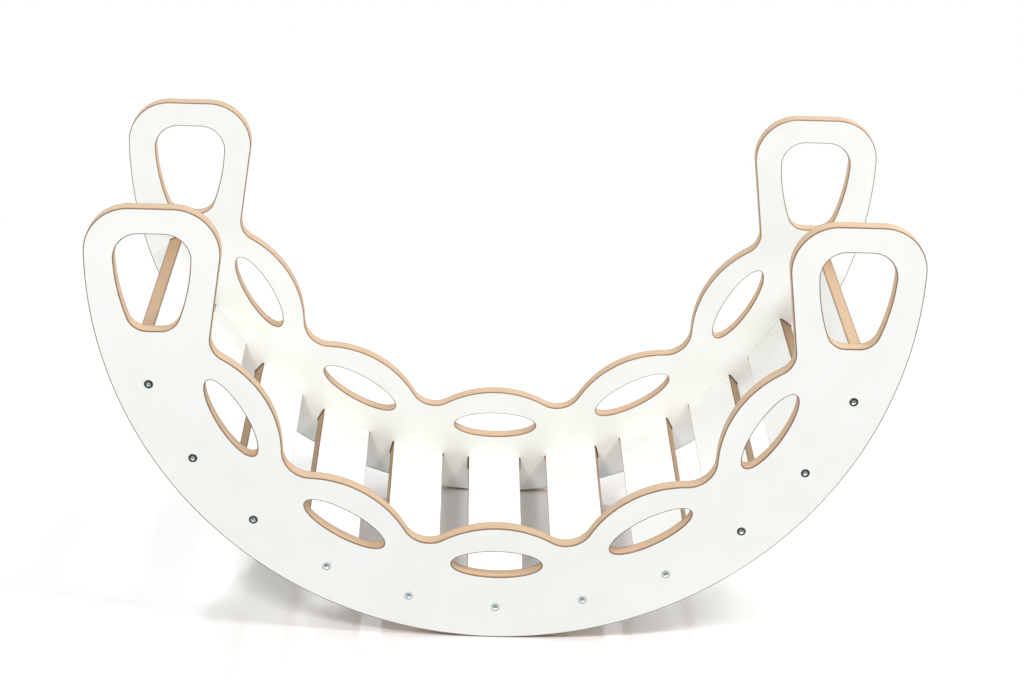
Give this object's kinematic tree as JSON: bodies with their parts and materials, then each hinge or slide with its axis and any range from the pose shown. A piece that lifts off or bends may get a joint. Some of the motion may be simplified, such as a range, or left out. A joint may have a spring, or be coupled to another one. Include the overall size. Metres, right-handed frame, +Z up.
{
  "type": "rocker arch",
  "caption": "Child's rocker: two curved side boards with hand holds, oval holes and a waved inner edge, joined by flat slats. Turned over, it is a climbing arch.",
  "frame": {"origin": "on the floor, below the middle of the rocker, where its two rocking edges' lowest points are centred", "axes": "+X along the rocker from the left hand holds to the right ones, +Y along the slats from the front board to the back board, +Z up"},
  "size_m": [0.9, 0.406, 0.5],
  "materials": {
    "board": "white satin lacquer on the faces, cut edges left in the tan of the board under clear lacquer",
    "slat": "white satin lacquer on the faces, cut edges left in the tan of the board under clear lacquer",
    "screw": "bright zinc plate",
    "dowel": "bare fluted beech"
  },
  "bodies": {
    "root": {"front_panel": "board", "back_panel": "board", "slat_01": "slat", "slat_02": "slat", "slat_03": "slat", "slat_04": "slat", "slat_05": "slat", "slat_06": "slat", "slat_07": "slat", "slat_08": "slat", "slat_09": "slat", "slat_10": "slat", "slat_11": "slat", "front_screws": "screw", "back_screws": "screw", "front_dowels": "dowel", "back_dowels": "dowel"}
  },
  "joints": []
}
